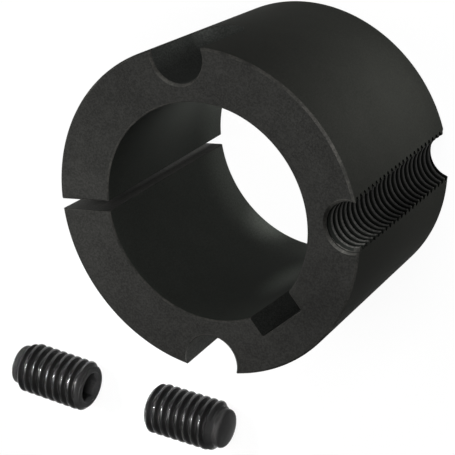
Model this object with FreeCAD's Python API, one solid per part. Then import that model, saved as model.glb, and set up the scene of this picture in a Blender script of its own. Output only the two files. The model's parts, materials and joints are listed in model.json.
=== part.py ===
import FreeCAD, Part
import math
import os

# Split taper bush with its two locking screws.
#
# Millimetres. +Z runs up the bore axis, from the small end to the large end. The origin is
# on the bore axis in the plane of the small end face, which the bush stands on. +X points
# to the threaded removal half-hole. Angles are taken about +Z from +X.

# Bush blank
LARGE_END_DIAMETER = 57.15
BUSH_LENGTH = 38.1
TAPER_HALF_ANGLE = 4.0
LARGE_END_CHAMFER = 0.4
SMALL_END_CHAMFER = 0.4

# Bore and keyway
BORE_DIAMETER = 38.1
BORE_CHAMFER = 0.25
KEYWAY_WIDTH = 9.525
KEYWAY_DEPTH = 3.175
KEYWAY_CORNER_RADIUS = 0.3
KEYWAY_ANGLE = -55.6

# Split
SLIT_WIDTH = 1.8
SLIT_ANGLE = 181.2

# Screw thread, shared by the locking screws and the removal half-hole
THREAD_DIAMETER = 9.525
TAP_DRILL_DIAMETER = 7.94

# Half-holes round the taper
HOLE_PITCH_CIRCLE = 53.975
REMOVAL_HOLE_ANGLE = 0.0
LOCKING_HOLE_ANGLES = (95.3, -94.5)
LOCKING_HOLE_CLEARANCE = 0.1
LOCKING_HOLE_SEAT_DEPTH = 12.7
LOCKING_HOLE_COUNTERSINK = 0.2
REMOVAL_HOLE_MOUTH_DIAMETER = 9.2

# Locking screws
SCREW_LENGTH = 15.875
SCREW_POINT_LENGTH = 1.6
SCREW_POINT_DIAMETER = 7.4
SCREW_POINT_EDGE_RADIUS = 0.6
SCREW_POINT_DOME_RADIUS = 16.0
SCREW_END_DIAMETER = 7.8
SOCKET_ACROSS_FLATS = 4.7625
SOCKET_DEPTH = 5.5
SOCKET_COUNTERSINK = 0.3
SOCKET_DRILL_HALF_ANGLE = 59.0

# Where each screw lies: the middle of its axis, and the way its socket end points
LEFT_SCREW_X = -58.25
LEFT_SCREW_Y = -48.2
LEFT_SCREW_HEADING = -11.9
RIGHT_SCREW_X = -28.9
RIGHT_SCREW_Y = -53.45
RIGHT_SCREW_HEADING = 169.9

# Tools for cutting run this far past the faces they open
OVERRUN = 2.0

UP = FreeCAD.Vector(0, 0, 1)
hole_pitch_radius = HOLE_PITCH_CIRCLE / 2


def taper_radius(height):
    """Radius of the tapered outside at a height above the small end."""
    drop = BUSH_LENGTH - height
    return LARGE_END_DIAMETER / 2 - drop * math.tan(math.radians(TAPER_HALF_ANGLE))


def turned(outline):
    """Solid of revolution about Z from (radius, height) points of a closed outline."""
    points = [FreeCAD.Vector(radius, 0, height) for radius, height in outline]
    face = Part.Face(Part.makePolygon(points + points[:1]))
    return face.revolve(FreeCAD.Vector(0, 0, 0), UP, 360)


def swung(shape, angle):
    """The shape turned about Z by an angle in degrees."""
    swung_shape = shape.copy()
    swung_shape.rotate(FreeCAD.Vector(0, 0, 0), UP, angle)
    return swung_shape


def countersink(mouth_radius, hole_radius, face_height, inwards):
    """45 degree countersink about Z at a face; inwards is -1 for a cut that runs down."""
    depth = mouth_radius - hole_radius
    outline = [
        (0, face_height - inwards * OVERRUN),
        (mouth_radius + OVERRUN, face_height - inwards * OVERRUN),
        (hole_radius, face_height + inwards * depth),
        (0, face_height + inwards * depth),
    ]
    return turned(outline)


def bush_blank():
    """Tapered ring with chamfered ends and bore."""
    bore_radius = BORE_DIAMETER / 2
    outline = [
        (bore_radius + BORE_CHAMFER, 0),
        (taper_radius(0) - SMALL_END_CHAMFER, 0),
        (taper_radius(SMALL_END_CHAMFER), SMALL_END_CHAMFER),
        (taper_radius(BUSH_LENGTH - LARGE_END_CHAMFER), BUSH_LENGTH - LARGE_END_CHAMFER),
        (taper_radius(BUSH_LENGTH) - LARGE_END_CHAMFER, BUSH_LENGTH),
        (bore_radius + BORE_CHAMFER, BUSH_LENGTH),
        (bore_radius, BUSH_LENGTH - BORE_CHAMFER),
        (bore_radius, BORE_CHAMFER),
    ]
    return turned(outline)


def keyway_cutter():
    """Full-length keyway, square-cornered but for a small radius at its floor."""
    reach = BORE_DIAMETER / 2 + KEYWAY_DEPTH
    cutter = Part.makeBox(
        reach,
        KEYWAY_WIDTH,
        BUSH_LENGTH + 2 * OVERRUN,
        FreeCAD.Vector(0, -KEYWAY_WIDTH / 2, -OVERRUN),
    )
    floor_edges = []
    for edge in cutter.Edges:
        middle = edge.CenterOfMass
        if abs(middle.x - reach) < 1e-6 and abs(abs(middle.y) - KEYWAY_WIDTH / 2) < 1e-6:
            floor_edges.append(edge)
    return swung(cutter.makeFillet(KEYWAY_CORNER_RADIUS, floor_edges), KEYWAY_ANGLE)


def slit_cutter():
    """Saw cut right through the wall on one side, over the whole length."""
    cutter = Part.makeBox(
        LARGE_END_DIAMETER / 2 + OVERRUN,
        SLIT_WIDTH,
        BUSH_LENGTH + 2 * OVERRUN,
        FreeCAD.Vector(0, -SLIT_WIDTH / 2, -OVERRUN),
    )
    return swung(cutter, SLIT_ANGLE)


def locking_hole_cutter(angle):
    """Plain blind half-hole from the large end, with a ball-nosed bottom."""
    radius = THREAD_DIAMETER / 2 + LOCKING_HOLE_CLEARANCE
    seat_height = BUSH_LENGTH - LOCKING_HOLE_SEAT_DEPTH
    foot = FreeCAD.Vector(0, 0, seat_height)
    cutter = Part.makeCylinder(radius, LOCKING_HOLE_SEAT_DEPTH + OVERRUN, foot, UP)
    cutter = cutter.fuse(Part.makeSphere(radius, foot))
    mouth = countersink(radius + LOCKING_HOLE_COUNTERSINK, radius, BUSH_LENGTH, -1)
    cutter = cutter.fuse(mouth).removeSplitter()
    cutter.translate(FreeCAD.Vector(hole_pitch_radius, 0, 0))
    return swung(cutter, angle)


def removal_hole_cutter(angle):
    """Full-length half-hole at the tap drill's diameter, countersunk at both ends."""
    radius = TAP_DRILL_DIAMETER / 2
    mouth_radius = REMOVAL_HOLE_MOUTH_DIAMETER / 2
    foot = FreeCAD.Vector(0, 0, -OVERRUN)
    cutter = Part.makeCylinder(radius, BUSH_LENGTH + 2 * OVERRUN, foot, UP)
    cutter = cutter.fuse(countersink(mouth_radius, radius, BUSH_LENGTH, -1))
    cutter = cutter.fuse(countersink(mouth_radius, radius, 0, 1)).removeSplitter()
    cutter.translate(FreeCAD.Vector(hole_pitch_radius, 0, 0))
    return swung(cutter, angle)


def bush_body():
    """The bush: blank, keyway, split, two locking half-holes and the removal half-hole."""
    cutters = [keyway_cutter(), slit_cutter(), removal_hole_cutter(REMOVAL_HOLE_ANGLE)]
    cutters += [locking_hole_cutter(angle) for angle in LOCKING_HOLE_ANGLES]
    return bush_blank().cut(cutters)


def screw_socket():
    """Hexagon socket from the top face of an upright screw, over a drill's cone."""
    across_corners = SOCKET_ACROSS_FLATS / math.cos(math.radians(30))
    top = SCREW_LENGTH
    bottom = top - SOCKET_DEPTH
    corners = []
    for index in range(6):
        turn = math.radians(60 * index)
        x = across_corners / 2 * math.cos(turn)
        y = across_corners / 2 * math.sin(turn)
        corners.append(FreeCAD.Vector(x, y, bottom))
    hexagon = Part.Face(Part.makePolygon(corners + corners[:1]))
    socket = hexagon.extrude(UP * (SOCKET_DEPTH + OVERRUN))
    drill_radius = SOCKET_ACROSS_FLATS / 2
    drill_depth = drill_radius / math.tan(math.radians(SOCKET_DRILL_HALF_ANGLE))
    socket = socket.fuse(turned([(0, bottom), (drill_radius, bottom), (0, bottom - drill_depth)]))
    return socket.fuse(countersink(across_corners / 2 + SOCKET_COUNTERSINK, drill_radius, top, -1))


def at_turn(centre_radius, centre_height, radius, turn):
    """Point on an arc in the XZ plane, at a turn from straight down."""
    return FreeCAD.Vector(
        centre_radius + radius * math.sin(turn),
        0,
        centre_height - radius * math.cos(turn),
    )


def screw_point():
    """Domed tip and rounded edge of the point, as two arcs that run on into each other."""
    point_radius = SCREW_POINT_DIAMETER / 2
    edge = SCREW_POINT_EDGE_RADIUS
    dome = SCREW_POINT_DOME_RADIUS
    edge_centre = point_radius - edge
    edge_height = dome - math.sqrt((dome - edge) ** 2 - edge_centre**2)
    meet = math.asin(edge_centre / (dome - edge))
    tip_arc = Part.Arc(
        at_turn(0, dome, dome, 0),
        at_turn(0, dome, dome, meet / 2),
        at_turn(0, dome, dome, meet),
    )
    edge_arc = Part.Arc(
        at_turn(edge_centre, edge_height, edge, meet),
        at_turn(edge_centre, edge_height, edge, (meet + math.pi / 2) / 2),
        at_turn(edge_centre, edge_height, edge, math.pi / 2),
    )
    return [tip_arc.toShape(), edge_arc.toShape()]


def upright_screw():
    """A locking screw standing on its point, at the thread's full diameter."""
    body_radius = THREAD_DIAMETER / 2
    end_radius = SCREW_END_DIAMETER / 2
    point_radius = SCREW_POINT_DIAMETER / 2
    run_out = body_radius - point_radius
    end_chamfer = body_radius - end_radius
    point = screw_point()
    outline = [
        point[-1].Vertexes[-1].Point,
        FreeCAD.Vector(point_radius, 0, SCREW_POINT_LENGTH),
        FreeCAD.Vector(body_radius, 0, SCREW_POINT_LENGTH + run_out),
        FreeCAD.Vector(body_radius, 0, SCREW_LENGTH - end_chamfer),
        FreeCAD.Vector(end_radius, 0, SCREW_LENGTH),
        FreeCAD.Vector(0, 0, SCREW_LENGTH),
        FreeCAD.Vector(0, 0, 0),
    ]
    edges = point + Part.makePolygon(outline).Edges
    blank = Part.Face(Part.Wire(edges)).revolve(FreeCAD.Vector(0, 0, 0), UP, 360)
    return blank.cut(screw_socket())


def lying_screw(x, y, heading):
    """A screw on its side on the floor, its socket end pointing along the heading."""
    screw = upright_screw()
    screw.translate(FreeCAD.Vector(0, 0, -SCREW_LENGTH / 2))
    screw.rotate(FreeCAD.Vector(0, 0, 0), FreeCAD.Vector(0, 1, 0), 90)
    screw = swung(screw, heading)
    screw.translate(FreeCAD.Vector(x, y, THREAD_DIAMETER / 2))
    return screw


os.makedirs("parts", exist_ok=True)
nodes = {
    "bush_body": bush_body(),
    "locking_screw_left": lying_screw(LEFT_SCREW_X, LEFT_SCREW_Y, LEFT_SCREW_HEADING),
    "locking_screw_right": lying_screw(RIGHT_SCREW_X, RIGHT_SCREW_Y, RIGHT_SCREW_HEADING),
}

for node, shape in nodes.items():
    solid = shape.Solids[0]
    solid.exportStep(os.path.join("parts", node + ".step"))
    print(node, len(shape.Solids), "solid", round(solid.Volume, 1), "mm3", solid.isValid())
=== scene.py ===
"""Looks of a split taper bush and its two locking screws, in metres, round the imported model."""

import json
import logging
import math
from collections.abc import Iterable, Iterator, Sequence
from contextlib import contextmanager
from dataclasses import dataclass, field, replace
from enum import Enum
from functools import cached_property

import bpy
from mathutils import Matrix, Vector

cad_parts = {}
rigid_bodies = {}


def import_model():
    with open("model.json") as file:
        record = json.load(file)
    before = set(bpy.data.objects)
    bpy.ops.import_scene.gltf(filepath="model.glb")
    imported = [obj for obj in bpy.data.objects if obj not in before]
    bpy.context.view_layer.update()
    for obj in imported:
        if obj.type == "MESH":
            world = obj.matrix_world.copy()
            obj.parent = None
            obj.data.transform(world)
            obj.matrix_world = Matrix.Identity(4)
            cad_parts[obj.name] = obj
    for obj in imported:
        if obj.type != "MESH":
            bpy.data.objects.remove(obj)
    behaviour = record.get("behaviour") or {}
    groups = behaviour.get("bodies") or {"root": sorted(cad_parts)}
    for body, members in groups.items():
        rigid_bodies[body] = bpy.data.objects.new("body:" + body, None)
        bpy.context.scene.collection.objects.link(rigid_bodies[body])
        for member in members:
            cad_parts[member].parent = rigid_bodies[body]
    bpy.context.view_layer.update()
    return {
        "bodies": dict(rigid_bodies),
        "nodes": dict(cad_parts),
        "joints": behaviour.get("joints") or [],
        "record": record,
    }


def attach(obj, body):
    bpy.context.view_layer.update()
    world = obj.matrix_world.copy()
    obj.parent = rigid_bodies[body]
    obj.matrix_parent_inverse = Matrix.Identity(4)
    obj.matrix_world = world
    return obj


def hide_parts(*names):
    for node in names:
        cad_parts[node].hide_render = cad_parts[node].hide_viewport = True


MM = 0.001
# Vertices that are nearer to each other than this, in metres, are one.
SEAM = 1e-6
# The reach of a patch of painted light along a direction that doesn't count for it.
FAR = 10000.0
# Half of the turn from one corner of a hexagon to the next.
HEXAGON_DEGREES = 30.0
CUTTER_STEPS = 72
THREAD_STEPS = 64
# Edges sharper than this stay sharp in the shading.
SHARP_DEGREES = 35.0
BEVEL_SLOT = 1
LOG = logging.getLogger("taper_bush")

Point = tuple[float, float]
Place = tuple[float, float, float]
Colour = tuple[float, float, float]
Piece = bpy.types.Object
Tree = bpy.types.NodeTree
Node = bpy.types.Node
Socket = bpy.types.NodeSocket


# Modelling helpers


def polar(degrees: float, radius: float, height: float = 0.0) -> Vector:
    """A point given by its turn round the Z axis, its distance from it and its height."""
    turn = math.radians(degrees)
    return Vector((radius * math.cos(turn), radius * math.sin(turn), height))


def about(axis: str, degrees: float) -> Matrix:
    """A turn about the X, Y or Z axis."""
    return Matrix.Rotation(math.radians(degrees), 4, axis)


def deselect() -> None:
    """Leave edit mode and deselect every object."""
    if bpy.context.mode != "OBJECT":
        bpy.ops.object.mode_set(mode="OBJECT")
    bpy.ops.object.select_all(action="DESELECT")


def pick(piece: Piece) -> None:
    """Select one object alone and make it active.

    Args:
        piece: The object to work on.
    """
    deselect()
    piece.select_set(True)
    bpy.context.view_layer.objects.active = piece


@contextmanager
def editing(piece: Piece) -> Iterator[None]:
    """Edit mode on one object, with nothing in its mesh selected.

    Args:
        piece: The object to edit.

    Returns:
        A context that ends back in object mode.
    """
    pick(piece)
    bpy.ops.object.mode_set(mode="EDIT")
    bpy.ops.mesh.select_all(action="DESELECT")
    yield
    bpy.ops.object.mode_set(mode="OBJECT")


def draw_profile(name: str, points: Sequence[Point]) -> Piece:
    """Draw a profile in the XZ plane, one vertex extruded after another.

    Args:
        name: Name of the new object.
        points: Radius and height of each point, in metres.

    Returns:
        An object whose mesh is the chain of edges.
    """
    deselect()
    bpy.ops.mesh.primitive_plane_add(size=1.0, location=(0.0, 0.0, 0.0))
    piece = bpy.context.object
    piece.name = name
    bpy.ops.object.mode_set(mode="EDIT")
    bpy.ops.mesh.select_all(action="SELECT")
    bpy.ops.mesh.merge(type="CENTER")
    radius, height = points[0]
    bpy.ops.transform.translate(value=(radius, 0.0, height))
    for (radius, height), (next_radius, next_height) in zip(points, points[1:]):
        step = (next_radius - radius, 0.0, next_height - height)
        bpy.ops.mesh.extrude_vertices_move(TRANSFORM_OT_translate={"value": step})
    bpy.ops.object.mode_set(mode="OBJECT")
    return piece


def apply_modifier(piece: Piece, kind: str, **settings: object) -> None:
    """Add a modifier to an object and apply it.

    Args:
        piece: The object to change.
        kind: The modifier's type, as Blender names it.
        **settings: Values for the modifier's own properties.
    """
    pick(piece)
    modifier = piece.modifiers.new(kind.lower(), kind)
    for key, value in settings.items():
        setattr(modifier, key, value)
    bpy.ops.object.modifier_apply(modifier=modifier.name)


def weld(piece: Piece, distance: float = 0.1 * SEAM) -> None:
    """Merge the vertices that meet and turn every face outwards.

    Args:
        piece: The object to clean.
        distance: How near two vertices have to be, in metres.
    """
    with editing(piece):
        bpy.ops.mesh.select_all(action="SELECT")
        bpy.ops.mesh.remove_doubles(threshold=distance)
        bpy.ops.mesh.dissolve_degenerate(threshold=distance)
        bpy.ops.mesh.select_all(action="SELECT")
        bpy.ops.mesh.normals_make_consistent(inside=False)


def spin(piece: Piece, steps: int, **settings: object) -> None:
    """Turn a profile about the Z axis.

    Args:
        piece: The profile, which becomes the turned shape.
        steps: Facets in one turn.
        **settings: Values for the Screw modifier's other properties.
    """
    turn = {"axis": "Z", "angle": math.tau, "steps": steps, "render_steps": steps}
    apply_modifier(piece, "SCREW", **turn, **settings)
    weld(piece)


def lathe(name: str, points: Sequence[Point], steps: int) -> Piece:
    """Turn a profile about the Z axis into a closed solid.

    Args:
        name: Name of the new object.
        points: The profile. It ends where it starts, or both its ends lie on the axis.
        steps: Facets in one turn.

    Returns:
        The turned object.
    """
    piece = draw_profile(name, points)
    spin(piece, steps, use_merge_vertices=True, merge_threshold=0.1 * SEAM)
    return piece


def block(name: str, low: Sequence[float], high: Sequence[float]) -> Piece:
    """A box between two corners.

    Args:
        name: Name of the new object.
        low: Its lowest corner.
        high: Its highest corner.

    Returns:
        The box, with its place in its mesh.
    """
    deselect()
    middle = [(a + b) / 2 for a, b in zip(low, high)]
    bpy.ops.mesh.primitive_cube_add(size=1.0, location=middle)
    piece = bpy.context.object
    piece.name = name
    piece.scale = [b - a for a, b in zip(low, high)]
    settle(piece)
    return piece


def settle(piece: Piece) -> None:
    """Move an object's place, turn and scale into its mesh.

    Args:
        piece: The object, which ends at the origin.
    """
    pick(piece)
    bpy.ops.object.transform_apply(location=True, rotation=True, scale=True)


def place(piece: Piece, matrix: Matrix) -> None:
    """Move a mesh to its place and leave its object at the origin.

    Args:
        piece: The object to move.
        matrix: From where it was modelled to where it goes.
    """
    piece.matrix_world = matrix
    bpy.context.view_layer.update()
    settle(piece)


def boolean(piece: Piece, tool: Piece, operation: str) -> None:
    """Cut or trim an object by a tool object, which is used up.

    Args:
        piece: The object to change.
        tool: The closed mesh that cuts it.
        operation: DIFFERENCE, INTERSECT or UNION.
    """
    apply_modifier(piece, "BOOLEAN", object=tool, operation=operation, solver="MANIFOLD")
    bpy.data.objects.remove(tool)


def cut(piece: Piece, *tools: Piece) -> None:
    """Cut an object by tool objects, one after another, which are used up."""
    for tool in tools:
        boolean(piece, tool, "DIFFERENCE")


def break_edges(piece: Piece, width: float, degrees: float, **settings: object) -> None:
    """Round an object's sharp edges and mark the new faces by their material slot.

    Args:
        piece: The object to change.
        width: How far from the edge the rounding starts.
        degrees: Edges sharper than this are rounded.
        **settings: Values for the Bevel modifier's other properties.
    """
    for label in ("machined", "broken_edges"):
        piece.data.materials.append(bpy.data.materials.new(label))
    apply_modifier(
        piece,
        "BEVEL",
        width=width,
        segments=2,
        limit_method="ANGLE",
        angle_limit=math.radians(degrees),
        use_clamp_overlap=False,
        material=BEVEL_SLOT,
        **settings,
    )


def smooth(piece: Piece) -> None:
    """Shade an object smoothly but for its sharp edges, with its large faces kept flat.

    Args:
        piece: The object to shade.
    """
    pick(piece)
    bpy.ops.object.shade_smooth_by_angle(angle=math.radians(SHARP_DEGREES))
    apply_modifier(piece, "WEIGHTED_NORMAL", mode="FACE_AREA", weight=50, keep_sharp=True)


def rounded(points: Sequence[Point], radius: float, steps: int) -> list[Point]:
    """Round the corners of a closed profile.

    Args:
        points: Its corners in order, the first not repeated.
        radius: Radius of each corner.
        steps: Edges in each corner's arc.

    Returns:
        The rounded profile, which ends where it starts.
    """
    out: list[Point] = []
    count = len(points)
    for index, corner in enumerate(points):
        here = Vector(corner)
        before = (Vector(points[index - 1]) - here).normalized()
        after = (Vector(points[(index + 1) % count]) - here).normalized()
        half = before.angle(after) / 2
        setback = radius / math.tan(half)
        centre = here + (before + after).normalized() * (radius / math.sin(half))
        start = here + before * setback - centre
        end = here + after * setback - centre
        turn = start.angle_signed(end)
        for step in range(steps + 1):
            spoke = start.copy()
            spoke.rotate(Matrix.Rotation(-turn * step / steps, 2))
            out.append((centre.x + spoke.x, centre.y + spoke.y))
    out.append(out[0])
    return out


# Thread


@dataclass(frozen=True)
class Thread:
    """A round-crested 55 degree screw thread.

    Args:
        diameter: Over the crests.
        pitch: From crest to crest.
        flank_angle: Between a flank and the plane square to the axis, in degrees.
        round_ratio: Radius of the crests and roots, as a share of the pitch.
        arc_steps: Edges in half of a crest or a root.
    """

    diameter: float = 9.525 * MM
    pitch: float = 1.5875 * MM
    flank_angle: float = 27.5
    round_ratio: float = 0.19
    arc_steps: int = 3

    @property
    def depth(self) -> float:
        """From crest to root, where the flanks touch both roundings."""
        slope = math.radians(self.flank_angle)
        radius = self.round_ratio * self.pitch
        straight = self.pitch / 2 - 2 * radius * math.cos(slope)
        return 2 * radius * (1 - math.sin(slope)) + straight / math.tan(slope)

    @property
    def minor_radius(self) -> float:
        """Radius at the roots of the outside thread."""
        return self.diameter / 2 - self.depth

    def profile(self) -> list[Point]:
        """Draw one pitch of the thread, from crest to crest.

        Returns:
            Radius and height of each point.
        """
        radius = self.round_ratio * self.pitch
        sweep = math.radians(90.0 - self.flank_angle)
        turns = [sweep * step / self.arc_steps for step in range(self.arc_steps + 1)]
        crest = self.diameter / 2 - radius
        root = self.minor_radius + radius
        middle = self.pitch / 2
        down = [(crest + radius * math.cos(t), radius * math.sin(t)) for t in turns]
        down += [(root - radius * math.cos(t), middle - radius * math.sin(t)) for t in reversed(turns)]
        up = [(r, self.pitch - z) for r, z in reversed(down[:-1])]
        return down + up

    def rod(self, name: str, low: float, high: float) -> Piece:
        """A threaded rod about Z that runs past both given heights, closed at its ends.

        Args:
            name: Name of the new object.
            low: Height that it has to reach down to.
            high: Height that it has to reach up to.

        Returns:
            The rod as a closed mesh.
        """
        below, spare = 3, 5
        turns = math.ceil((high - low) / self.pitch) + spare
        start = low - below * self.pitch
        rod = draw_profile(name, [(r, z + start) for r, z in self.profile()])
        spin(rod, THREAD_STEPS, screw_offset=self.pitch, iterations=turns)
        with editing(rod):
            for height, side in ((low - self.pitch, "clear_inner"), (high + self.pitch, "clear_outer")):
                bpy.ops.mesh.select_all(action="SELECT")
                plane = {"plane_co": (0.0, 0.0, height), "plane_no": (0.0, 0.0, 1.0)}
                bpy.ops.mesh.bisect(**plane, use_fill=True, threshold=0.01 * SEAM, **{side: True})
        weld(rod)
        return rod


# Shader groups and finishes


class Marks(Enum):
    """Which way a tool left its marks."""

    RINGS = "rings across an end face"
    BANDS = "bands round a turned or bored wall"
    NONE = "no marks"


def add_node(tree: Tree, kind: str, inputs: dict[str | int, object], **options: object) -> Node:
    """Add a node to a tree.

    Args:
        tree: The tree that it goes in.
        kind: The node's type, as Blender names it.
        inputs: A socket to link or a plain value, by the input's name or number.
        **options: Values for the node's own properties.

    Returns:
        The new node.
    """
    node = tree.nodes.new(kind)
    for key, value in options.items():
        setattr(node, key, value)
    for label, value in inputs.items():
        if isinstance(value, Socket):
            link(tree, value, node.inputs[label])
        else:
            node.inputs[label].default_value = value
    return node


def link(tree: Tree, source: Socket, target: Socket) -> None:
    """Join two sockets of a node tree."""
    tree.links.new(source, target)


def math_node(tree: Tree, operation: str, first: object, second: object = 0.0) -> Socket:
    """Work out a number from two sockets or numbers."""
    return add_node(tree, "ShaderNodeMath", {0: first, 1: second}, operation=operation).outputs[0]


def blend(tree: Tree, first: Socket, second: Socket, share: float) -> Socket:
    """Add two values up, with a share of the second and the rest of the first."""
    rest = math_node(tree, "MULTIPLY", first, 1.0 - share)
    return math_node(tree, "ADD", rest, math_node(tree, "MULTIPLY", second, share))


def range_node(tree: Tree, value: Socket, span: Point, out: Point = (0.0, 1.0)) -> Socket:
    """Map a value from one span to another, smoothly and clamped.

    Args:
        tree: The tree that it goes in.
        value: The socket to map.
        span: What maps to the two ends of out.
        out: The results at the two ends of the span.

    Returns:
        The mapped value.
    """
    ends = {"From Min": span[0], "From Max": span[1], "To Min": out[0], "To Max": out[1]}
    node = add_node(tree, "ShaderNodeMapRange", {"Value": value, **ends}, interpolation_type="SMOOTHSTEP")
    return node.outputs["Result"]


def noise_node(tree: Tree, vector: Socket, scale: object, detail: float) -> Socket:
    """Add a Noise Texture in three dimensions.

    Args:
        tree: The tree that it goes in.
        vector: Where it reads its place.
        scale: A socket or a number.
        detail: How many finer layers it has.

    Returns:
        Its value.
    """
    inputs = {"Vector": vector, "Scale": scale, "Detail": detail, "Roughness": 0.55}
    return add_node(tree, "ShaderNodeTexNoise", inputs).outputs["Fac"]


def length_node(tree: Tree, vector: Socket) -> Socket:
    """The length of a vector."""
    return add_node(tree, "ShaderNodeVectorMath", {0: vector}, operation="LENGTH").outputs["Value"]


def radius_node(tree: Tree, spot: Socket) -> Socket:
    """How far a place is from the Z axis."""
    flat = add_node(tree, "ShaderNodeVectorMath", {0: spot, 1: (1.0, 1.0, 0.0)}, operation="MULTIPLY")
    return length_node(tree, flat.outputs[0])


def frame_node(tree: Tree, spot: Socket, **frame: object) -> Socket:
    """Read a place in another frame.

    Args:
        tree: The tree that it goes in.
        spot: The place.
        **frame: Location, Rotation and Scale of the frame, where they aren't plain.

    Returns:
        The place as that frame has it.
    """
    node = add_node(tree, "ShaderNodeMapping", {"Vector": spot, **frame}, vector_type="TEXTURE")
    return node.outputs["Vector"]


def mix_colour(tree: Tree, mask: Socket, first: object, second: object) -> Socket:
    """Mix two colours by a mask.

    Args:
        tree: The tree that it goes in.
        mask: 0 gives the first colour and 1 the second.
        first: A socket or a colour.
        second: A socket or a colour.

    Returns:
        The mixed colour.
    """
    node = add_node(tree, "ShaderNodeMix", {"Factor": mask}, data_type="RGBA")
    for name, value in (("A", first), ("B", second)):
        target = next(s for s in node.inputs if s.name == name and s.type == "RGBA")
        if isinstance(value, Socket):
            link(tree, value, target)
        else:
            target.default_value = (*value, 1.0)
    return next(s for s in node.outputs if s.type == "RGBA")


@dataclass(frozen=True)
class ShaderGroups:
    """Node groups that the finishes share, each built once.

    Args:
        grain_span: Noise values where the fine grain starts and ends.
        blotch_span: The same for the slow blotches.
        coarse_scale: Size of the fine grain as a share of the coarse grain's.
        coarse_share: Share of the coarse grain in the height.
        patch_scales: Large and small rubbed patches in a metre.
        fleck_share: Share of the small patches.
        patch_level: Noise value above which an unworn coat is rubbed.
        patch_travel: How far full wear brings that value down.
        patch_edge: How sharp the patches' edges are.
    """

    grain_span: Point = (0.32, 0.7)
    blotch_span: Point = (0.35, 0.68)
    coarse_scale: float = 0.3
    coarse_share: float = 0.35
    patch_scales: Point = (260.0, 2600.0)
    fleck_share: float = 0.4
    patch_level: float = 0.95
    patch_travel: float = 0.75
    patch_edge: float = 5.0

    @staticmethod
    def start(name: str, inputs: dict[str, float], outputs: Iterable[str]) -> tuple[Tree, Node, Node]:
        """Begin a group that reads a place as its Vector.

        Args:
            name: The group's name.
            inputs: Default values of its number inputs, by name.
            outputs: Names of the values that it gives.

        Returns:
            The tree, its input node and its output node.
        """
        tree = bpy.data.node_groups.new(name, "ShaderNodeTree")
        tree.interface.new_socket(name="Vector", in_out="INPUT", socket_type="NodeSocketVector")
        for label, value in inputs.items():
            socket = tree.interface.new_socket(name=label, in_out="INPUT", socket_type="NodeSocketFloat")
            socket.default_value = value
        for label in outputs:
            tree.interface.new_socket(name=label, in_out="OUTPUT", socket_type="NodeSocketFloat")
        return tree, tree.nodes.new("NodeGroupInput"), tree.nodes.new("NodeGroupOutput")

    @cached_property
    def grain(self) -> Tree:
        """Fine crystal grain with slow blotches, as a phosphate coat has."""
        inputs = {"Scale": 4000.0, "Blotch Scale": 180.0}
        tree, start, end = self.start("coat_grain", inputs, ("Grain", "Blotch", "Height"))
        vector, scale = start.outputs["Vector"], start.outputs["Scale"]
        fine = noise_node(tree, vector, scale, 3.0)
        coarse = noise_node(tree, vector, math_node(tree, "MULTIPLY", scale, self.coarse_scale), 2.0)
        slow = noise_node(tree, vector, start.outputs["Blotch Scale"], 4.0)
        link(tree, range_node(tree, fine, self.grain_span), end.inputs["Grain"])
        link(tree, range_node(tree, slow, self.blotch_span), end.inputs["Blotch"])
        link(tree, blend(tree, fine, coarse, self.coarse_share), end.inputs["Height"])
        return tree

    @cached_property
    def marks(self) -> Tree:
        """Tool marks as rings by radius and as bands by height."""
        tree, start, end = self.start("tool_marks", {"Lines": 5000.0}, ("Rings", "Bands"))
        vector = start.outputs["Vector"]
        height = add_node(tree, "ShaderNodeSeparateXYZ", {0: vector}).outputs["Z"]
        for distance, output in ((radius_node(tree, vector), "Rings"), (height, "Bands")):
            count = math_node(tree, "MULTIPLY", distance, start.outputs["Lines"])
            inputs = {"W": count, "Scale": 1.0, "Detail": 3.0}
            lines = add_node(tree, "ShaderNodeTexNoise", inputs, noise_dimensions="1D")
            link(tree, lines.outputs["Fac"], end.inputs[output])
        return tree

    @cached_property
    def wear(self) -> Tree:
        """Break a mask up into the patches where a coat has rubbed off."""
        tree, start, end = self.start("rubbed_patches", {"Where": 1.0, "Amount": 0.5}, ("Mask",))
        large, small = (noise_node(tree, start.outputs["Vector"], scale, 3.0) for scale in self.patch_scales)
        both = blend(tree, large, small, self.fleck_share)
        drop = math_node(tree, "MULTIPLY", start.outputs["Amount"], self.patch_travel)
        above = math_node(tree, "SUBTRACT", both, math_node(tree, "SUBTRACT", self.patch_level, drop))
        patch = math_node(tree, "ADD", math_node(tree, "MULTIPLY", above, self.patch_edge), 0.5)
        held = math_node(tree, "MINIMUM", math_node(tree, "MAXIMUM", patch, 0.0), 1.0)
        link(tree, math_node(tree, "MULTIPLY", held, start.outputs["Where"]), end.inputs["Mask"])
        return tree


@dataclass(frozen=True)
class ThreadZone:
    """Where a finish follows the crests and roots of a thread, with painted shade in the roots and crests
    rubbed paler, partly wear and partly painted highlight.

    Args:
        axis: The thread's own frame, whose Z runs along it.
        root_radius: Distance of the roots from the axis.
        crest_radius: Distance of the crests from the axis.
        shoulder: How far from root to crest the crest's polish starts, as a share.
    """

    axis: Matrix
    root_radius: float
    crest_radius: float
    shoulder: float = 0.7

    def mask(self, tree: Tree, spot: Socket) -> Socket:
        """A mask that is 0 in the roots and on most of the flanks, and 1 on the crests."""
        shoulder = self.root_radius + self.shoulder * (self.crest_radius - self.root_radius)
        return range_node(tree, radius_node(tree, spot), (shoulder, self.crest_radius))


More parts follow.
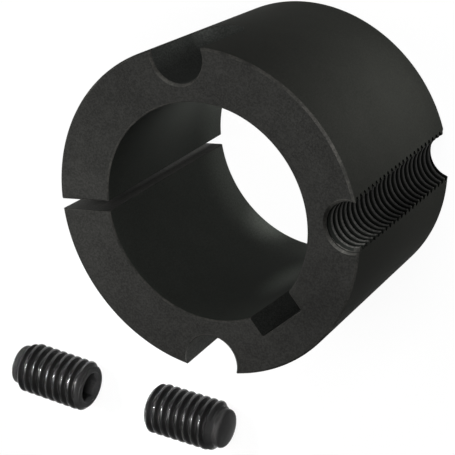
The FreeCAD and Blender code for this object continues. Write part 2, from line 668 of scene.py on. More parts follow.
@dataclass(frozen=True)
class PaintedLight:
    """Painted light and shade: where a surface's colour is painted paler or darker towards a point, standing
    in for how the light falls there.

    Args:
        gain: How many times as bright its colour is at the point.
        reach: How far it goes from there along X, Y and Z.
        centre: The point.
    """

    gain: float
    reach: Place
    centre: Place = (0.0, 0.0, 0.0)

    def apply(self, tree: Tree, spot: Socket, colour: Socket) -> Socket:
        """Paint light into a colour by how near the spot is to the centre, or paint shade where the gain is
        below 1.

        Args:
            tree: The tree that it goes in.
            spot: The place on the surface.
            colour: The colour to change.

        Returns:
            The changed colour.
        """
        from_centre = frame_node(tree, spot, Location=self.centre, Scale=self.reach)
        near = range_node(tree, length_node(tree, from_centre), (1.0, 0.0))
        gain = math_node(tree, "ADD", math_node(tree, "MULTIPLY", near, self.gain - 1.0), 1.0)
        inputs = {0: colour, "Scale": gain}
        return add_node(tree, "ShaderNodeVectorMath", inputs, operation="SCALE").outputs[0]


@dataclass(frozen=True)
class Finish:
    """A black coat over machined metal.

    Args:
        name: The material's name.
        coat: Colour of the coat.
        pale: Colour of its paler grain.
        rubbed: Colour where it has rubbed thin.
        root: Colour in the roots of a thread, painted to stand in for the shade there.
        wear: How much of it has rubbed thin, from 0 to 1.
        roughness: Lowest and highest roughness.
        specular: Specular level of the coat.
        polish: Specular level of a thread's crests.
        blotch_share: Share of the slow blotches in the tone.
        marks: Which way the tool's marks run.
        lines: Marks in a metre.
        line_share: Share of the marks in the tone.
        mark_depth: Strength of the marks in the bump.
        grain: Crystals in a metre.
        grain_depth: Strength of the grain in the bump.
        bump: Strength of the bump.
        bump_height: Its full height.
        thread: The thread that it follows, if any.
        painted_light: Painted light and shade, where its colour is painted paler or darker towards given
            points.
    """

    name: str
    coat: Colour = (0.0165, 0.0165, 0.0155)
    pale: Colour = (0.037, 0.037, 0.0347)
    rubbed: Colour = (0.058, 0.057, 0.052)
    root: Colour = (0.006, 0.0062, 0.006)
    wear: float = 0.25
    roughness: Point = (0.66, 0.8)
    specular: float = 0.02
    polish: float = 0.02
    blotch_share: float = 0.25
    marks: Marks = Marks.NONE
    lines: float = 5000.0
    line_share: float = 0.2
    mark_depth: float = 0.25
    grain: float = 3400.0
    grain_depth: float = 0.5
    bump: float = 0.35
    bump_height: float = 0.06 * MM
    thread: ThreadZone | None = None
    painted_light: tuple[PaintedLight, ...] = ()

    def build(self, groups: ShaderGroups) -> bpy.types.Material:
        """Make the material.

        Args:
            groups: The shared node groups.

        Returns:
            The finished material.
        """
        material = bpy.data.materials.new(self.name)
        material.use_nodes = True
        tree = material.node_tree
        shader = tree.nodes["Principled BSDF"]
        shader.inputs["Specular IOR Level"].default_value = self.specular
        spot = self.spot(tree)
        grain = self.group(tree, groups.grain, spot, Scale=self.grain)
        wear = self.group(tree, groups.wear, spot, Amount=self.wear)
        tone = blend(tree, grain.outputs["Grain"], grain.outputs["Blotch"], self.blotch_share)
        height = math_node(tree, "MULTIPLY", grain.outputs["Height"], self.grain_depth)
        if self.marks is not Marks.NONE:
            marks = self.group(tree, groups.marks, spot, Lines=self.lines)
            line = marks.outputs[self.marks.name.title()]
            tone = blend(tree, tone, line, self.line_share)
            height = math_node(tree, "ADD", height, math_node(tree, "MULTIPLY", line, self.mark_depth))
        colour = mix_colour(tree, tone, self.coat, self.pale)
        if self.thread:
            crest = self.thread.mask(tree, spot)
            # Painted shade: the roots take the root colour in place of the shade that falls in them.
            colour = mix_colour(tree, crest, self.root, colour)
            # The wear keeps to the crests, which are rubbed paler: partly wear and partly a painted highlight
            # along each crest.
            link(tree, crest, wear.inputs["Where"])
            shine = range_node(tree, crest, (0.0, 1.0), (self.specular, self.polish))
            link(tree, shine, shader.inputs["Specular IOR Level"])
        colour = mix_colour(tree, wear.outputs["Mask"], colour, self.rubbed)
        # Painted light and shade: the colour is made paler or darker about the given points.
        for painted_patch in self.painted_light:
            colour = painted_patch.apply(tree, spot, colour)
        link(tree, colour, shader.inputs["Base Color"])
        link(tree, range_node(tree, tone, (0.0, 1.0), self.roughness), shader.inputs["Roughness"])
        inputs = {"Strength": self.bump, "Distance": self.bump_height, "Height": height}
        bump = add_node(tree, "ShaderNodeBump", inputs)
        link(tree, bump.outputs["Normal"], shader.inputs["Normal"])
        return material

    def spot(self, tree: Tree) -> Socket:
        """Where a point of the surface is, in the thread's own frame if there is one.

        Args:
            tree: The material's tree.

        Returns:
            The point's place.
        """
        here = tree.nodes.new("ShaderNodeTexCoord").outputs["Object"]
        if not self.thread:
            return here
        axis = self.thread.axis
        return frame_node(tree, here, Location=axis.to_translation(), Rotation=axis.to_euler())

    @staticmethod
    def group(tree: Tree, group: Tree, spot: Socket, **values: float) -> Node:
        """Place a shared group that reads a place, with values for its other inputs."""
        return add_node(tree, "ShaderNodeGroup", {"Vector": spot, **values}, node_tree=group)


def paint(piece: Piece, groups: ShaderGroups, finishes: dict[Enum, Finish], surfaces: Iterable[Enum]) -> None:
    """Give each face of a piece its surface's finish.

    Args:
        piece: The finished mesh.
        groups: The shared node groups.
        finishes: The finish of each surface.
        surfaces: Which surface each face belongs to, in the mesh's order.
    """
    order = list(finishes)
    slots = [order.index(surface) for surface in surfaces]
    piece.data.materials.clear()
    for finish in finishes.values():
        piece.data.materials.append(finish.build(groups))
    for face, slot in zip(piece.data.polygons, slots):
        face.material_index = slot


# Bush


class Surface(Enum):
    """The machined surfaces of the bush, with a painted lit copy of the cut wall and a painted shaded copy
    for the bore's chamfer.
    """

    END_FACE = "faced end"
    TAPER = "turned taper"
    BORE = "bored hole"
    CUT = "milled or drilled wall"
    # Painted light: a copy of the drilled wall, painted several times paler, for the lower locking hole.
    PALE_CUT = "drilled wall painted paler as if lit"
    SAWN = "sawn wall"
    THREAD = "tapped wall"
    # Painted shade: the bore's chamfer gets its own darker colour.
    BORE_EDGE = "chamfer of the bored hole"
    EDGE = "broken edge"


@dataclass
class Bush:
    """The split bush, standing on its small end with its axis on Z."""

    length: float = 38.1 * MM
    large_radius: float = 57.15 * MM / 2
    taper_degrees: float = 4.0
    large_chamfer: float = 0.4 * MM
    small_chamfer: float = 0.4 * MM
    bore_radius: float = 19.05 * MM
    bore_chamfer: float = 0.25 * MM
    keyway_width: float = 9.525 * MM
    keyway_depth: float = 3.175 * MM
    keyway_degrees: float = -55.6
    keyway_corner: float = 0.3 * MM
    slit_width: float = 1.8 * MM
    slit_degrees: float = 181.2
    hole_circle_radius: float = 53.975 * MM / 2
    locking_degrees: Point = (95.3, -94.5)
    locking_clearance: float = 0.1 * MM
    locking_seat: float = 12.7 * MM
    locking_countersink: float = 0.2 * MM
    tap_drill_radius: float = 7.94 * MM / 2
    removal_mouth_radius: float = 9.2 * MM / 2
    locking_deburr_offset: float = 0.18 * MM
    locking_deburr_degrees: Point = (242.0, 30.0)
    removal_deburr_radius: float = 4.7 * MM
    removal_deburr_offset: float = 0.3 * MM
    removal_deburr_degrees: float = 250.0
    edge_radius: float = 0.1 * MM
    edge_degrees: float = 32.0
    corner_steps: int = 3
    keyway_corner_steps: int = 4
    ball_steps: int = 16
    facets: int = 240
    overrun: float = 2.0 * MM
    thread: Thread = field(default_factory=Thread)

    @property
    def finishes(self) -> dict[Surface, Finish]:
        """The finish of each machined surface."""
        tapped = ThreadZone(self.at_hole(0.0), self.thread.diameter / 2, self.tap_drill_radius)
        turned = {"marks": Marks.BANDS, "grain_depth": 0.3}
        return {
            Surface.END_FACE: Finish(
                "bush_end_face",
                marks=Marks.RINGS,
                # Painted light and shade: paler towards 185 degrees, darker about a patch at -40 degrees.
                painted_light=(
                    self.painted_patch(1.35, 185.0, 28.0, 0.0, (22.0, 36.0, FAR)),
                    self.painted_patch(0.76, -40.0, 24.0, 0.0, (15.0, 15.0, FAR)),
                ),
            ),
            Surface.TAPER: Finish(
                "bush_taper",
                coat=(0.025, 0.026, 0.023),
                pale=(0.037, 0.038, 0.034),
                specular=0.01,
                # Painted light: the taper is painted paler towards its small end.
                painted_light=(self.painted_patch(1.6, 0.0, 0.0, 0.0, (FAR, FAR, 38.1)),),
                **turned,
            ),
            Surface.BORE: Finish(
                "bush_bore",
                coat=(0.0245, 0.0265, 0.0235),
                pale=(0.04, 0.043, 0.0385),
                specular=0.03,
                # Painted light and shade: paler towards the small end, at 235 degrees and at -84 degrees, and
                # darker at -105 degrees near the small end.
                painted_light=(
                    self.painted_patch(2.3, 0.0, 0.0, 0.0, (FAR, FAR, 9.5)),
                    self.painted_patch(2.3, 235.0, 19.05, 0.0, (6.0, 6.0, 9.0)),
                    self.painted_patch(0.72, -105.0, 19.05, 1.0, (5.0, 4.0, 9.0)),
                    self.painted_patch(3.0, -84.0, 19.05, 15.5, (5.0, 5.0, 13.0)),
                ),
                **turned,
            ),
            Surface.CUT: Finish(
                "bush_cut_walls",
                coat=(0.0165, 0.0177, 0.0165),
                pale=(0.035, 0.037, 0.0345),
                wear=0.15,
                # Painted light: the wall of the locking half-hole at about 95 degrees is painted paler near
                # the large end.
                painted_light=(self.painted_patch(3.0, 104.6, 28.9, 30.0, (5.0, 5.0, 20.0)),),
            ),
            # Painted light: the lower locking hole's wall, a copy of the cut wall painted several times
            # paler.
            Surface.PALE_CUT: Finish(
                "bush_painted_lit_cut_wall",
                coat=(0.07, 0.072, 0.068),
                pale=(0.13, 0.13, 0.123),
                rubbed=(0.14, 0.14, 0.13),
            ),
            Surface.SAWN: Finish(
                # Painted light and shade: the sawn walls are painted much paler than the coat elsewhere, in
                # place of light in the narrow slit; paler still about 22 mm out towards the small end and at
                # the outer edge, and darker at the bore's edge near the large end.
                "bush_sawn_walls",
                coat=(0.06, 0.06, 0.057),
                pale=(0.1, 0.1, 0.095),
                rubbed=(0.1, 0.098, 0.09),
                wear=0.3,
                painted_light=(
                    self.painted_patch(5.0, 180.0, 22.0, 0.0, (1.5, FAR, 38.1)),
                    self.painted_patch(1.35, 181.0, 28.5, 38.1, (5.0, FAR, FAR)),
                    self.painted_patch(0.5, 181.0, 19.0, 38.1, (5.0, FAR, 9.0)),
                ),
            ),
            Surface.THREAD: Finish(
                "bush_tapped_wall",
                coat=(0.01, 0.01, 0.0095),
                # Painted shade in the thread's roots.
                root=(0.0045, 0.005, 0.0045),
                wear=0.3,
                polish=0.2,
                thread=tapped,
                # Painted light near the mouth on the hole's -Y side, and painted shade deeper down on that
                # side.
                painted_light=(
                    self.painted_patch(5.0, -90.0, 5.0, 38.1, (7.5, 7.5, 14.0)),
                    self.painted_patch(0.35, -90.0, 5.0, 15.0, (6.0, 6.0, 13.0)),
                ),
            ),
            # Painted shade: the bore's chamfer is painted darker than the bore.
            Surface.BORE_EDGE: Finish(
                "bush_bore_chamfer_painted_shade",
                coat=(0.007, 0.0075, 0.007),
                pale=(0.012, 0.0125, 0.012),
                rubbed=(0.02, 0.02, 0.019),
            ),
            Surface.EDGE: Finish(
                "bush_broken_edges",
                coat=(0.02, 0.02, 0.0185),
                pale=(0.028, 0.028, 0.026),
                rubbed=(0.05, 0.0485, 0.0445),
                wear=0.55,
                # Painted light and shade on the broken edges: paler on the +Y side, by the locking hole at 95
                # degrees, by the removal hole at -9 degrees and by the lower locking hole; darker on the
                # removal hole's inner side.
                painted_light=(
                    self.painted_patch(1.6, 90.0, 10.0, 0.0, (FAR, 16.0, FAR)),
                    self.painted_patch(1.75, 100.0, 22.7, 0.0, (3.6, 3.6, FAR)),
                    self.painted_patch(0.3, 3.0, 22.8, 0.0, (3.8, 5.5, FAR)),
                    self.painted_patch(3.3, -9.2, 25.5, 0.0, (3.3, 3.3, FAR)),
                    self.painted_patch(4.5, -85.1, 24.6, 0.0, (3.8, 3.8, FAR)),
                ),
            ),
        }

    @staticmethod
    def painted_patch(gain: float, degrees: float, radius: float, height: float, reach: Place) -> PaintedLight:
        """Painted light about a point given round the Z axis, or painted shade where the gain is below 1.

        Args:
            gain: How many times as bright the colour is at the point.
            degrees: Where the point stands round the axis.
            radius: Its distance from the axis, in millimetres.
            height: Its height, in millimetres.
            reach: How far the fade goes along X, Y and Z, in millimetres.

        Returns:
            The painted light, in metres.
        """
        centre = polar(degrees, radius, height) * MM
        return PaintedLight(gain, tuple(Vector(reach) * MM), tuple(centre))

    def taper_radius(self, height: float) -> float:
        """Radius of the taper at a height above the small end."""
        return self.large_radius - (self.length - height) * math.tan(math.radians(self.taper_degrees))

    def blank(self) -> Piece:
        """The turned ring with its chamfers, all its corners slightly rounded.

        Returns:
            The ring as a closed mesh.
        """
        corners = [
            (self.bore_radius + self.bore_chamfer, 0.0),
            (self.taper_radius(0.0) - self.small_chamfer, 0.0),
            (self.taper_radius(self.small_chamfer), self.small_chamfer),
            (self.taper_radius(self.length - self.large_chamfer), self.length - self.large_chamfer),
            (self.large_radius - self.large_chamfer, self.length),
            (self.bore_radius + self.bore_chamfer, self.length),
            (self.bore_radius, self.length - self.bore_chamfer),
            (self.bore_radius, self.bore_chamfer),
        ]
        return lathe("bush_body_machined", rounded(corners, self.edge_radius, self.corner_steps), self.facets)

    def keyway_cutter(self) -> Piece:
        """The full-length keyway, with a small radius in its two corners.

        Returns:
            The cutter in place.
        """
        reach = self.bore_radius + self.keyway_depth
        half = self.keyway_width / 2
        high = (reach, half, self.length + self.overrun)
        cutter = block("keyway_cutter", (0.0, -half, -self.overrun), high)
        for edge in cutter.data.edges:
            ends = [cutter.data.vertices[v].co for v in edge.vertices]
            upright = abs(ends[0].z - ends[1].z) > SEAM
            edge.select = upright and all(end.x > reach - SEAM for end in ends)
        for vertex in cutter.data.vertices:
            vertex.select = False
        for face in cutter.data.polygons:
            face.select = False
        pick(cutter)
        bpy.context.tool_settings.mesh_select_mode = (False, True, False)
        bpy.ops.object.mode_set(mode="EDIT")
        bpy.ops.mesh.bevel(offset=self.keyway_corner, segments=self.keyway_corner_steps, affect="EDGES")
        bpy.ops.object.mode_set(mode="OBJECT")
        bpy.context.tool_settings.mesh_select_mode = (True, False, False)
        place(cutter, about("Z", self.keyway_degrees))
        return cutter

    def slit_cutter(self) -> Piece:
        """The saw cut that splits the bush.

        Returns:
            The cutter in place.
        """
        half = self.slit_width / 2
        high = (self.large_radius + self.overrun, half, self.length + self.overrun)
        cutter = block("slit_cutter", (0.0, -half, -self.overrun), high)
        place(cutter, about("Z", self.slit_degrees))
        return cutter

    def at_hole(self, degrees: float) -> Matrix:
        """From the axis to a half-hole's own axis."""
        return about("Z", degrees) @ Matrix.Translation((self.hole_circle_radius, 0.0, 0.0))

    def locking_cutter(self, degrees: float) -> Piece:
        """A blind half-hole with a ball-nosed end.

        Args:
            degrees: Where it stands round the bush.

        Returns:
            The cutter in place.
        """
        radius = self.thread.diameter / 2 + self.locking_clearance
        seat = self.length - self.locking_seat
        turns = [math.pi / 2 * step / self.ball_steps for step in range(self.ball_steps + 1)]
        points = [(radius * math.sin(turn), seat - radius * math.cos(turn)) for turn in turns]
        points += [(radius, self.length + self.overrun), (0.0, self.length + self.overrun)]
        cutter = lathe("locking_cutter", points, CUTTER_STEPS)
        place(cutter, self.at_hole(degrees))
        return cutter

    def deburr_cutter(self, degrees: float, mouth: float, offset: float, towards: float) -> Piece:
        """The cone of a hand countersink, held a little off the hole's centre.

        Args:
            degrees: Where the hole stands round the bush.
            mouth: Its radius at the large end face.
            offset: How far it is held off the hole's centre.
            towards: Which way it is held off, in degrees from +X.

        Returns:
            The cutter in place.
        """
        height = self.length + self.overrun
        points = [(0.0, self.length - mouth), (mouth + self.overrun, height), (0.0, height)]
        cone = lathe("deburr_cutter", points, CUTTER_STEPS)
        place(cone, Matrix.Translation(polar(towards, offset)) @ self.at_hole(degrees))
        return cone

    def tap_drill(self) -> Piece:
        """The plain hole that the thread is cut in, countersunk at the small end.

        Returns:
            The cutter in place.
        """
        mouth, radius = self.removal_mouth_radius, self.tap_drill_radius
        points = [
            (0.0, -self.overrun),
            (mouth + self.overrun, -self.overrun),
            (radius, mouth - radius),
            (radius, self.length + self.overrun),
            (0.0, self.length + self.overrun),
        ]
        drill = lathe("tap_drill", points, CUTTER_STEPS)
        place(drill, self.at_hole(0.0))
        return drill

    def build(self) -> Piece:
        """Model the bush.

        Returns:
            Its finished mesh.
        """
        body = self.blank()
        cut(body, self.keyway_cutter(), self.slit_cutter())
        mouth = self.thread.diameter / 2 + self.locking_clearance + self.locking_countersink
        for degrees, towards in zip(self.locking_degrees, self.locking_deburr_degrees):
            cone = (mouth, self.locking_deburr_offset, towards)
            cut(body, self.locking_cutter(degrees), self.deburr_cutter(degrees, *cone))
        cone = (self.removal_deburr_radius, self.removal_deburr_offset, self.removal_deburr_degrees)
        cut(body, self.tap_drill(), self.deburr_cutter(0.0, *cone))
        weld(body, 2 * SEAM)
        break_edges(body, self.edge_radius, self.edge_degrees, miter_outer="MITER_ARC")
        rod = self.thread.rod("removal_thread", 0.0, self.length)
        place(rod, self.at_hole(0.0))
        cut(body, rod)
        weld(body, SEAM)
        smooth(body)
        return body

    def surface_at(self, centre: Vector, normal: Vector) -> Surface:
        """Tell which machined surface a face belongs to.

        Args:
            centre: The face's centre.
            normal: The face's normal.

        Returns:
            The surface.
        """
        # Parts of a normal along a direction, from a face square to it down to a slanted one.
        flat, square, level, slanted = 0.999, 0.99, 0.95, 0.3
        chamfers = 1.5
        # Distances from a surface and from the large end.
        close, near, edge_height = 0.01 * MM, 0.03 * MM, 0.8 * MM
        radius = math.hypot(centre.x, centre.y)
        outwards = (centre.x * normal.x + centre.y * normal.y) / radius
        from_top = self.length - centre.z
        from_end = min(centre.z, from_top)
        if from_end < close and abs(normal.z) > flat:
            return Surface.END_FACE
        if outwards > square and abs(radius - self.taper_radius(centre.z)) < near:
            return Surface.TAPER
        if outwards < -square and radius < self.bore_radius + near:
            return Surface.BORE
        if from_top < edge_height and slanted < normal.z < level:
            return Surface.EDGE
        if from_end < self.large_chamfer and abs(outwards) > slanted:
            # The bore's chamfer takes its darker copy, painted shade.
            if outwards < 0 and radius < self.bore_radius + chamfers * self.bore_chamfer:
                return Surface.BORE_EDGE
            if outwards > 0 and radius > self.taper_radius(centre.z) - chamfers * self.large_chamfer:
                return Surface.EDGE
        if math.hypot(centre.x - self.hole_circle_radius, centre.y) < self.thread.diameter / 2 + close:
            return Surface.THREAD
        along = polar(self.slit_degrees, 1.0)
        if abs(centre.y * along.x - centre.x * along.y) < self.slit_width and centre.x < 0:
            return Surface.SAWN
        # The lower locking hole's wall takes the cut wall's copy that is painted paler as painted light.
        lower = self.at_hole(self.locking_degrees[1]).to_translation()
        wall = self.thread.diameter / 2 + 2 * self.locking_clearance
        if math.hypot(centre.x - lower.x, centre.y - lower.y) < wall:
            return Surface.PALE_CUT
        return Surface.CUT

    def dress(self, body: Piece, groups: ShaderGroups) -> None:
        """Give each machined surface its own finish.

        Args:
            body: The finished mesh.
            groups: The shared node groups.
        """
        surfaces = [
            Surface.EDGE if face.material_index == BEVEL_SLOT else self.surface_at(face.center, face.normal)
            for face in body.data.polygons
        ]
        paint(body, groups, self.finishes, surfaces)


# Locking screws


class ScrewSurface(Enum):
    """The surfaces of a screw that look different."""

    OUTSIDE = "thread, point and rim"
    SOCKET = "socket"


@dataclass
class LockingScrew:
    """A hexagon socket set screw with a dog point, lying on the floor.

    Args:
        name: Name of its piece.
        node: The CAD node that it stands for.
        middle: Where the middle of its axis lies on the floor.
        heading: The way its socket end points, in degrees from +X.
    """

    name: str
    node: str
    middle: Point
    heading: float
    length: float = 15.875 * MM
    point_length: float = 1.6 * MM
    point_radius: float = 7.4 * MM / 2
    point_edge: float = 0.6 * MM
    point_dome: float = 16.0 * MM
    point_steps: int = 6
    end_radius: float = 7.8 * MM / 2
    socket_flats: float = 4.7625 * MM
    socket_depth: float = 5.5 * MM
    socket_countersink: float = 0.3 * MM
    rim_margin: float = 0.05 * MM
    socket_throat: float = 0.8
    drill_ratio: float = 0.98
    drill_degrees: float = 59.0
    edge_width: float = 0.09 * MM
    edge_degrees: float = 28.0
    crest_trim: float = 0.025 * MM
    facets: int = 96
    overrun: float = 1.0 * MM
    thread: Thread = field(default_factory=Thread)

    @property
    def axis(self) -> Matrix:
        """From the upright screw, centred on its middle, to where it lies."""
        here = Matrix.Translation((*self.middle, self.thread.diameter / 2))
        return here @ about("Z", self.heading) @ about("Y", 90.0)

    @property
    def corner(self) -> float:
        """Distance of the socket's corners from the axis."""
        return self.socket_flats / 2 / math.cos(math.radians(HEXAGON_DEGREES))

    @property
    def finishes(self) -> dict[ScrewSurface, Finish]:
        """Glossy black oxide, thin on the crests and dull in the roots and the socket, with painted light at
        both ends and a socket painted paler than the outside.
        """
        half = self.length / 2
        return {
            ScrewSurface.OUTSIDE: Finish(
                self.name + "_oxide",
                coat=(0.008, 0.008, 0.0082),
                pale=(0.013, 0.013, 0.0128),
                rubbed=(0.018, 0.018, 0.017),
                # Painted shade in the roots, set near the coat's tone.
                root=(0.011, 0.011, 0.011),
                wear=0.4,
                roughness=(0.22, 0.26),
                specular=0.03,
                polish=0.5,
                grain=3200.0,
                grain_depth=0.15,
                bump=0.15,
                thread=ThreadZone(self.axis, self.thread.minor_radius, self.thread.diameter / 2),
                # Painted light: the socket end and the point are painted paler.
                painted_light=(
                    PaintedLight(2.3, (FAR, FAR, 2.0 * MM), (0.0, 0.0, half)),
                    PaintedLight(2.5, (FAR, FAR, 3.8 * MM), (0.0, 0.0, -half)),
                ),
            ),
            # Painted light: the socket is painted paler than the oxide outside, and paler still deep down,
            # lifting the shade in it.
            ScrewSurface.SOCKET: Finish(
                self.name + "_socket",
                coat=(0.017, 0.017, 0.0174),
                pale=(0.028, 0.028, 0.0284),
                rubbed=(0.036, 0.036, 0.0352),
                wear=0.2,
                roughness=(0.4, 0.55),
                specular=0.1,
                grain=3200.0,
                painted_light=(PaintedLight(1.9, (FAR, FAR, 4.0 * MM), (0.0, 0.0, half - 1.2 * self.socket_depth)),),
            ),
        }

    def envelope(self) -> Piece:
        """The turned blank: rounded point, run-out and chamfered socket end.

        Returns:
            The blank, upright.
        """
        half = self.length / 2
        crest = self.thread.diameter / 2
        edge, dome = self.point_edge, self.point_dome
        edge_centre = self.point_radius - edge
        edge_height = dome - math.sqrt((dome - edge) ** 2 - edge_centre**2)
        meet = math.asin(edge_centre / (dome - edge))
        shares = [step / self.point_steps for step in range(self.point_steps + 1)]
        points = []
        for turn in (meet * share for share in shares[:-1]):
            points.append((dome * math.sin(turn), dome * (1 - math.cos(turn)) - half))
        for turn in (meet + (math.pi / 2 - meet) * share for share in shares):
            points.append((edge_centre + edge * math.sin(turn), edge_height - edge * math.cos(turn) - half))
        neck = self.point_length - half
        points += [
            (self.point_radius, neck),
            (crest, neck + crest - self.point_radius),
            (crest, half - crest + self.end_radius),
            (self.end_radius, half),
            (0.0, half),
        ]
        return lathe(self.name, points, self.facets)

    def socket_cutters(self) -> list[Piece]:
        """The hexagon, the cone at its mouth and the drill's cone below it.

        Returns:
            The cutters, for the upright screw.
        """
        half = self.length / 2
        depth = self.socket_depth + self.overrun
        middle = (0.0, 0.0, half + self.overrun - depth / 2)
        deselect()
        bpy.ops.mesh.primitive_cylinder_add(vertices=6, radius=self.corner, depth=depth, location=middle)
        hexagon = bpy.context.object
        settle(hexagon)
        place(hexagon, about("Z", HEXAGON_DEGREES))
        mouth = self.corner + self.socket_countersink
        throat = self.socket_flats / 2 * self.socket_throat
        start, top = half - mouth + throat, half + self.overrun
        countersink = [(0.0, start), (throat, start), (mouth + self.overrun, top), (0.0, top)]
        drill = self.socket_flats / 2 * self.drill_ratio
        floor = half - self.socket_depth
        tip = floor - drill / math.tan(math.radians(self.drill_degrees))
        lid = floor + self.overrun / 2
        cone = [(0.0, tip), (drill, floor), (drill, lid), (0.0, lid)]
        return [
            hexagon,
            lathe("socket_mouth", countersink, CUTTER_STEPS),
            lathe("socket_drill", cone, CUTTER_STEPS),
        ]

    def build(self) -> Piece:
        """Model the screw where it lies.

        Returns:
            Its finished mesh.
        """
        screw = self.envelope()
        cut(screw, *self.socket_cutters())
        weld(screw, SEAM)
        break_edges(screw, self.edge_width, self.edge_degrees)
        half = self.length / 2
        rolled = replace(self.thread, diameter=self.thread.diameter + 2 * self.crest_trim)
        boolean(screw, rolled.rod("screw_thread", -half, half), "INTERSECT")
        weld(screw, SEAM)
        place(screw, self.axis)
        smooth(screw)
        return screw

    def dress(self, screw: Piece, groups: ShaderGroups) -> None:
        """Give the screw its black oxide.

        Args:
            screw: The finished mesh.
            groups: The shared node groups.
        """
        to_upright = self.axis.inverted()
        surfaces = [self.surface_at(to_upright @ face.center) for face in screw.data.polygons]
        paint(screw, groups, self.finishes, surfaces)

    def surface_at(self, spot: Vector) -> ScrewSurface:
        """Tell which surface a point belongs to.

        Args:
            spot: The point in the upright screw's frame.

        Returns:
            The surface.
        """
        rim = self.corner + self.socket_countersink + self.rim_margin
        if spot.z > 0 and math.hypot(spot.x, spot.y) < rim:
            return ScrewSurface.SOCKET
        return ScrewSurface.OUTSIDE


# Stage


@dataclass(frozen=True)
class Lamp:
    """A rectangular studio lamp.

    Args:
        name: Its name.
        azimuth: Where it stands round the object, in degrees from +X.
        elevation: How high it stands, in degrees.
        distance: From the object.
        size: Width and height.
        power: In watts.
        spread: How far its light fans out, in degrees.
        aim: The point that it stands round and is aimed at.
    """

    name: str
    azimuth: float
    elevation: float
    distance: float
    size: Point
    power: float
    spread: float = 180.0
    aim: Place = (0.0, 0.0, 20.0 * MM)

    def build(self) -> None:
        """Stand the lamp and aim it."""
        up = math.radians(self.elevation)
        away = polar(self.azimuth, math.cos(up), math.sin(up))
        data = bpy.data.lights.new(self.name, "AREA")
        data.shape = "RECTANGLE"
        data.size, data.size_y = self.size
        data.energy = self.power
        data.spread = math.radians(self.spread)
        lamp = bpy.data.objects.new(self.name, data)
        bpy.context.scene.collection.objects.link(lamp)
        lamp.location = Vector(self.aim) + away * self.distance
        lamp.rotation_mode = "QUATERNION"
        lamp.rotation_quaternion = (-away).to_track_quat("-Z", "Y")


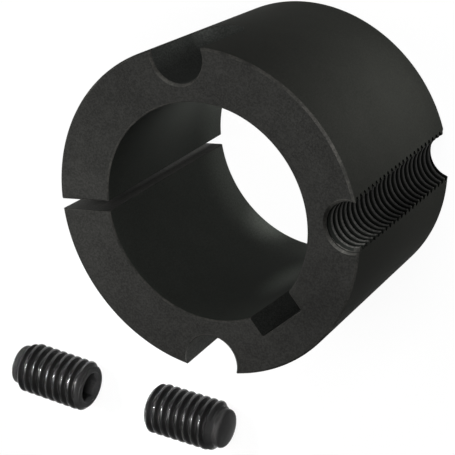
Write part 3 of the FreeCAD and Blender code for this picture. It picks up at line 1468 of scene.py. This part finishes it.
@dataclass(frozen=True)
class Studio:
    """Floor, lamps, world and the photograph's camera."""

    camera_place: Place = (262.84 * MM, 160.22 * MM, 451.87 * MM)
    camera_aim: Place = (3.99 * MM, -2.21 * MM, 38.14 * MM)
    camera_roll: float = -122.713
    focal_length: float = 247.0
    sensor_width: float = 36.0
    floor_size: float = 4.0
    floor_drop: float = 0.05 * MM
    floor_white: float = 0.93
    floor_colour: Colour = (0.35, 0.35, 0.35)
    sky_strength: float = 0.05
    lamps: tuple[Lamp, ...] = (
        Lamp("lamp_top", 45.0, 70.0, 0.8, (0.35, 0.35), 4.9),
        Lamp("lamp_right", 0.0, 70.0, 0.8, (0.35, 0.35), 1.2),
        Lamp("lamp_left", 165.0, 35.0, 0.3, (0.15, 0.15), 0.4),
        Lamp("lamp_bore", 315.0, 50.0, 0.3, (0.012, 0.012), 0.0011, 5.0, (-0.0135, 0.0135, 0.01)),
        Lamp("lamp_low", 30.0, 0.0, 0.3, (0.012, 0.05), 0.0018, 8.0, (0.0, 0.0, 0.022)),
        Lamp("lamp_glint", 127.7, 53.5, 0.3, (0.035, 0.035), 0.015, 6.0, (-0.043, -0.051, 0.005)),
    )

    def build(self) -> None:
        """Set the whole stage up."""
        self.build_floor()
        self.build_world()
        self.build_camera()
        for lamp in self.lamps:
            lamp.build()
        bpy.context.scene.view_settings.view_transform = "Standard"

    @staticmethod
    def seen_directly(tree: Tree) -> Socket:
        """A mask that is 1 for rays from the camera, in reflections and through glass.

        Args:
            tree: The tree that it goes in.

        Returns:
            The mask.
        """
        path = tree.nodes.new("ShaderNodeLightPath")
        seen = math_node(tree, "MAXIMUM", path.outputs["Is Camera Ray"], path.outputs["Is Glossy Ray"])
        return math_node(tree, "MAXIMUM", seen, path.outputs["Is Transmission Ray"])

    def build_floor(self) -> None:
        """A plain floor that shows white and keeps the object's shadow."""
        deselect()
        bpy.ops.mesh.primitive_plane_add(size=self.floor_size, location=(0.0, 0.0, -self.floor_drop))
        floor = bpy.context.object
        floor.name = "studio_floor"
        settle(floor)
        material = bpy.data.materials.new("studio_floor_paint")
        material.use_nodes = True
        tree = material.node_tree
        tree.nodes.clear()
        seen = self.seen_directly(tree)
        bright = mix_colour(tree, seen, self.floor_colour, (1.0, 1.0, 1.0))
        diffuse = add_node(tree, "ShaderNodeBsdfDiffuse", {"Color": bright})
        white = add_node(tree, "ShaderNodeEmission", {"Strength": 1.0})
        share = math_node(tree, "MULTIPLY", seen, self.floor_white)
        inputs = {0: share, 1: diffuse.outputs[0], 2: white.outputs[0]}
        mixed = add_node(tree, "ShaderNodeMixShader", inputs)
        add_node(tree, "ShaderNodeOutputMaterial", {"Surface": mixed.outputs[0]})
        floor.data.materials.append(material)

    def build_world(self) -> None:
        """Weak, soft light from all round."""
        world = bpy.data.worlds.new("studio_sky")
        bpy.context.scene.world = world
        world.use_nodes = True
        soft = world.node_tree.nodes["Background"]
        soft.inputs["Color"].default_value = (1.0, 1.0, 1.0, 1.0)
        soft.inputs["Strength"].default_value = self.sky_strength

    def build_camera(self) -> None:
        """The camera at the photograph's viewing angle."""
        data = bpy.data.cameras.new("camera")
        data.lens = self.focal_length
        data.sensor_width = self.sensor_width
        data.clip_start, data.clip_end = 0.01, 10.0
        camera = bpy.data.objects.new("camera", data)
        bpy.context.scene.collection.objects.link(camera)
        here = Vector(self.camera_place)
        look = Vector(self.camera_aim) - here
        level = look.to_track_quat("-Z", "Y").to_matrix().to_4x4()
        camera.matrix_world = Matrix.Translation(here) @ level @ about("Z", self.camera_roll)
        bpy.context.scene.camera = camera


SCREWS = (
    LockingScrew("locking_screw_left_threaded", "locking_screw_left", (-58.25 * MM, -48.2 * MM), -11.9),
    LockingScrew("locking_screw_right_threaded", "locking_screw_right", (-28.9 * MM, -53.45 * MM), 169.9),
)


def declare(piece: Piece, node: str) -> None:
    """Attach a finished piece to the root body, hide the CAD node that it replaces, and log its face count.

    Args:
        piece: The finished piece.
        node: The CAD node that it replaces.
    """
    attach(piece, "root")
    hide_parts(node)
    LOG.info("%s: %d faces", piece.name, len(piece.data.polygons))


def main() -> None:
    """Build the bush, the screws and the stage."""
    logging.basicConfig(level=logging.INFO, format="%(name)s: %(message)s")
    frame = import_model()
    groups = ShaderGroups()
    bush = Bush()
    body = bush.build()
    bush.dress(body, groups)
    declare(body, "bush_body")
    for screw in SCREWS:
        piece = screw.build()
        screw.dress(piece, groups)
        declare(piece, screw.node)
    Studio().build()


if __name__ == "__main__":
    main()
